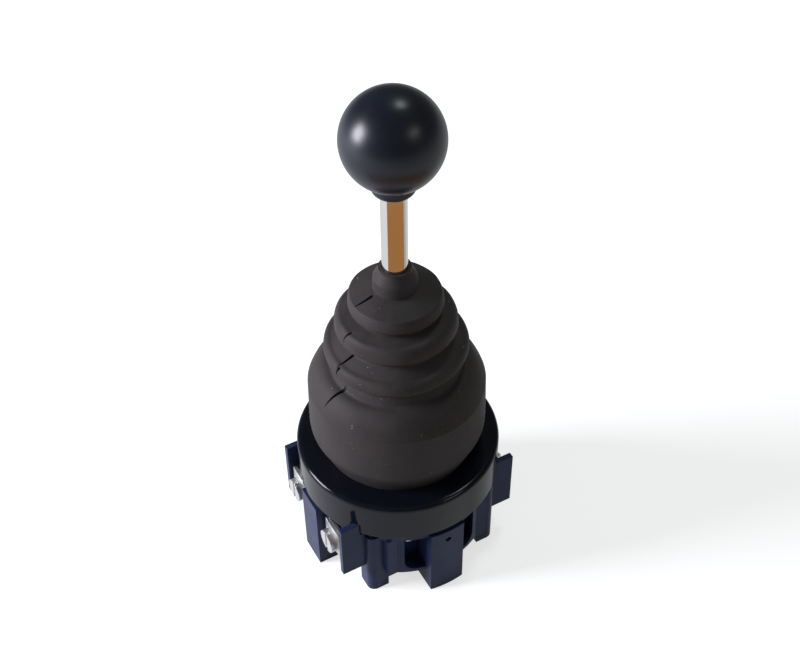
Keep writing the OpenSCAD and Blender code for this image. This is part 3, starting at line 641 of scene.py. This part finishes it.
def uneven(r, z, a):
    """The point moved by a slow wave that fades out at the ring and at the collar."""
    away = Vector((math.cos(a) * 1.3, math.sin(a) * 1.3, z / MM * 0.06))
    fade = min(1, max(0, (z - ring_top) / (6 * MM))) * min(1, max(0, (collar_foot - z) / (2 * MM)))
    wave = noise.noise(away) * WAVE * MM * fade
    sag = noise.noise(away * 1.7 + Vector((5, 2, 8))) * SAG * MM * fade
    return r + wave, z + sag


def worn(r, z, a):
    """The uneven point, sunk where a split is."""
    depth = split_depth(r, z, a)
    r, z = uneven(r, z, a)
    return r - 0.35 * SPLIT_DEPTH * depth, z - SPLIT_DEPTH * depth


# %% [markdown]
# ## Two pieces
# The lever turns in two steps: the gimbal turns in the housing, and the lever turns in the gimbal. So the
# boot is built as a skirt, between housing and gimbal, and the folds, between gimbal and lever. The skirt
# has a bead at its foot that the ring clamps.

# %% Build the boot in two pieces
BEAD_TOP = 32.3 * MM
BEAD_R, BEAD_INNER_R = 21.3 * MM, 14.3 * MM
BEAD_FOOT = boot_low.z + 0.05 * MM
skirt_top = ring_top + SKIRT_H
skirt_outline = [(BEAD_R, BEAD_FOOT), (BEAD_R, BEAD_TOP), (FOOT_R, BEAD_TOP + 0.2 * MM)]
skirt_outline += soften([(FOOT_R, ring_top - 1 * MM), (FOOT_R, ring_top), (BELLY_R, ring_top + BELLY_H),
                         (FOLDS[0][0], skirt_top)], 0.5 * MM, 6)
skirt_outline += [(FOLDS[0][0] - BOOT_WALL, skirt_top), (BELLY_R - BOOT_WALL, ring_top + BELLY_H),
                  (FOOT_R - BOOT_WALL, BEAD_TOP + 0.6 * MM),
                  (BEAD_INNER_R, BEAD_TOP), (BEAD_INNER_R, BEAD_FOOT)]
skirt = lathe("boot_skirt", skirt_outline, boot_angles(), uneven)
soft_line = soften(skin_line, 0.3 * MM, 2)[:-1] + soften(collar_line, 0.2 * MM, 1)
folds = lathe("boot_folds", soft_line + lining_line, boot_angles(), worn)
print("boot meshes: %d and %d points" % (len(skirt.data.vertices), len(folds.data.vertices)))

# %% [markdown]
# The depth of the splits is stored on the points, and the shader paints shade inside them by it.

# %% Store the painted shade of the splits on the mesh
for piece in (skirt, folds):
    piece.data.materials.append(boot_rubber)
    # Each point of the folds gets a value for the painted shade inside the splits.
    split_shade = piece.data.attributes.new("split", "FLOAT", "POINT")
    if piece is folds:
        for i, v in enumerate(piece.data.vertices):
            r, a = math.hypot(v.co.x, v.co.y), math.atan2(v.co.y, v.co.x)
            split_shade.data[i].value = min(1, 2.2 * split_depth(r + 0.1 * MM, v.co.z + 0.3 * MM, a))
    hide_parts("boot")
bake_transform(skirt)
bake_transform(folds)

# %% [markdown]
# ## Knob
# The ball has a short neck under it and a fine witness line where the two halves of its mould met, a
# twentieth of a millimetre high. The neck runs into the ball with a fillet. Its bore takes the brass
# insert.

# %% Knob outline
NECK_R = 5.0 * MM
NECK_ROUND = 1.3 * MM
FILLET = 0.7 * MM
WITNESS_HIGH, WITNESS_WIDE = 0.05 * MM, 0.12 * MM
BALL_STEPS, SMALL_STEPS, KNOB_ANGLES = 48, 6, 96
insert_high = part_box("knob_insert")[1]
bore_r, insert_top = insert_high.x, insert_high.z


def knob_outline():
    """The bore, the neck's rounded foot, the fillet and the ball, from the axis round to the axis."""
    meet = math.asin((NECK_R + FILLET) / (knob_r + FILLET))
    ball = [meet + (math.pi - meet) * i / BALL_STEPS for i in range(BALL_STEPS)]
    line = [(knob_r * math.sin(t), knob_z - knob_r * math.cos(t)) for t in ball] + [(0, knob_high.z)]
    centre_z = knob_z - (knob_r + FILLET) * math.cos(meet)
    bend = [math.pi / 2 - (math.pi / 2 - meet) * i / SMALL_STEPS for i in range(SMALL_STEPS)]
    turned = [(NECK_R + FILLET * (1 - math.sin(k)), centre_z + FILLET * math.cos(k)) for k in bend]
    edge = [math.pi / 2 * i / SMALL_STEPS for i in range(SMALL_STEPS + 1)]
    foot = [(NECK_R - NECK_ROUND * (1 - math.sin(k)), knob_low.z + NECK_ROUND * (1 - math.cos(k)))
            for k in edge]
    return [(0, insert_top), (bore_r, insert_top), (bore_r, knob_low.z)] + foot + turned + line


def witness_line(r, z, a):
    """The ball a hair smaller, except at the line round its middle."""
    lift = WITNESS_HIGH * math.exp(-((z - knob_z) / WITNESS_WIDE) ** 2)
    return (r + lift - WITNESS_HIGH if r > NECK_R else r), z


knob_angles = [2 * math.pi * i / KNOB_ANGLES for i in range(KNOB_ANGLES)]
knob = lathe("ball_with_neck", knob_outline(), knob_angles, witness_line)
knob.data.materials.append(knob_phenolic)
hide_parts("ball_knob")
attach(knob, "lever")
print("knob: %d points" % len(knob.data.vertices))
